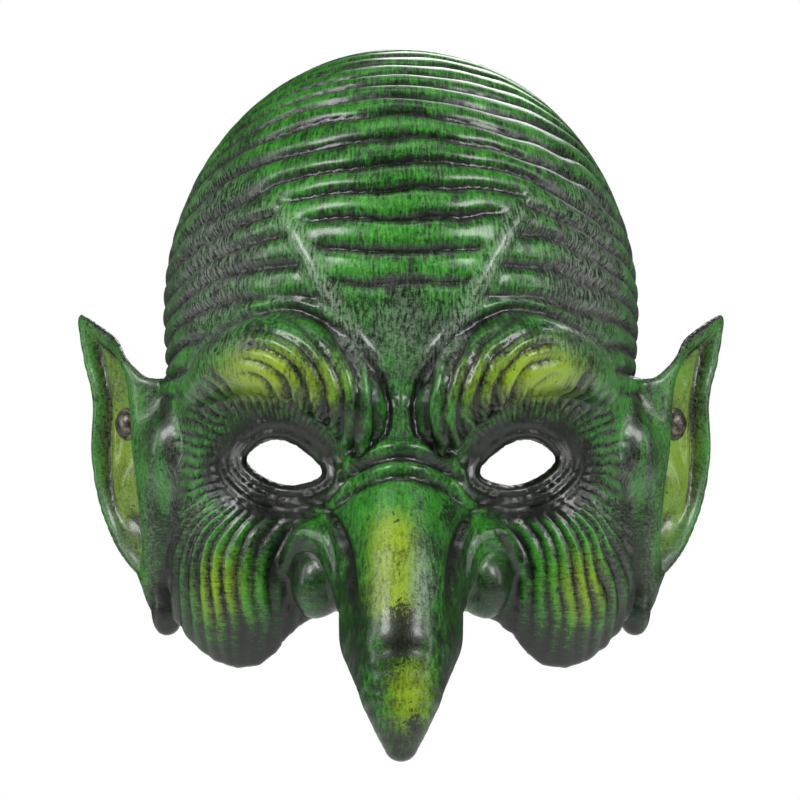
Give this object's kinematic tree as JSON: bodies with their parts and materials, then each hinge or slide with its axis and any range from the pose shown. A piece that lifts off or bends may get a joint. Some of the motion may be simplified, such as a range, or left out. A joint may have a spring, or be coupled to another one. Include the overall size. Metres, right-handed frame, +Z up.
{
  "type": "latex half mask",
  "caption": "Moulded latex goblin half mask with a hooked nose and pointed ears, and a riveted elastic head strap.",
  "frame": {"origin": "midway between the two rivets that hold the strap", "axes": "+Z up, the face looks along -Y, +X is to the right of someone facing the mask"},
  "size_m": [0.2118, 0.2474, 0.22],
  "materials": {
    "latex": "glossy, black base with green dry brushing",
    "rivet_metal": "dull grey",
    "elastic": "woven elastic",
    "buckle_plastic": "satin"
  },
  "bodies": {
    "mask": {"mask_shell": "latex", "left_rivet_cap": "rivet_metal", "left_rivet_washer": "rivet_metal", "left_rivet_base": "rivet_metal", "left_strap_end": "elastic", "right_rivet_cap": "rivet_metal", "right_rivet_washer": "rivet_metal", "right_rivet_base": "rivet_metal", "right_strap_end": "elastic"},
    "strap": {"strap_tab": "elastic", "strap_buckle": "buckle_plastic", "strap_band": "elastic"},
    "keeper": {"strap_keeper": "buckle_plastic"}
  },
  "joints": [
    {"name": "strap_swing", "type": "hinge", "parent": "mask", "child": "strap", "pos_m": [0, 0.013, 0], "axis": [1, 0, 0], "range_deg": [-45, 60]},
    {"name": "keeper_slide", "type": "slide", "parent": "strap", "child": "keeper", "axis": [-0.1045, 0.9927, 0.0607], "range_m": [-0.008, 0.008]}
  ]
}
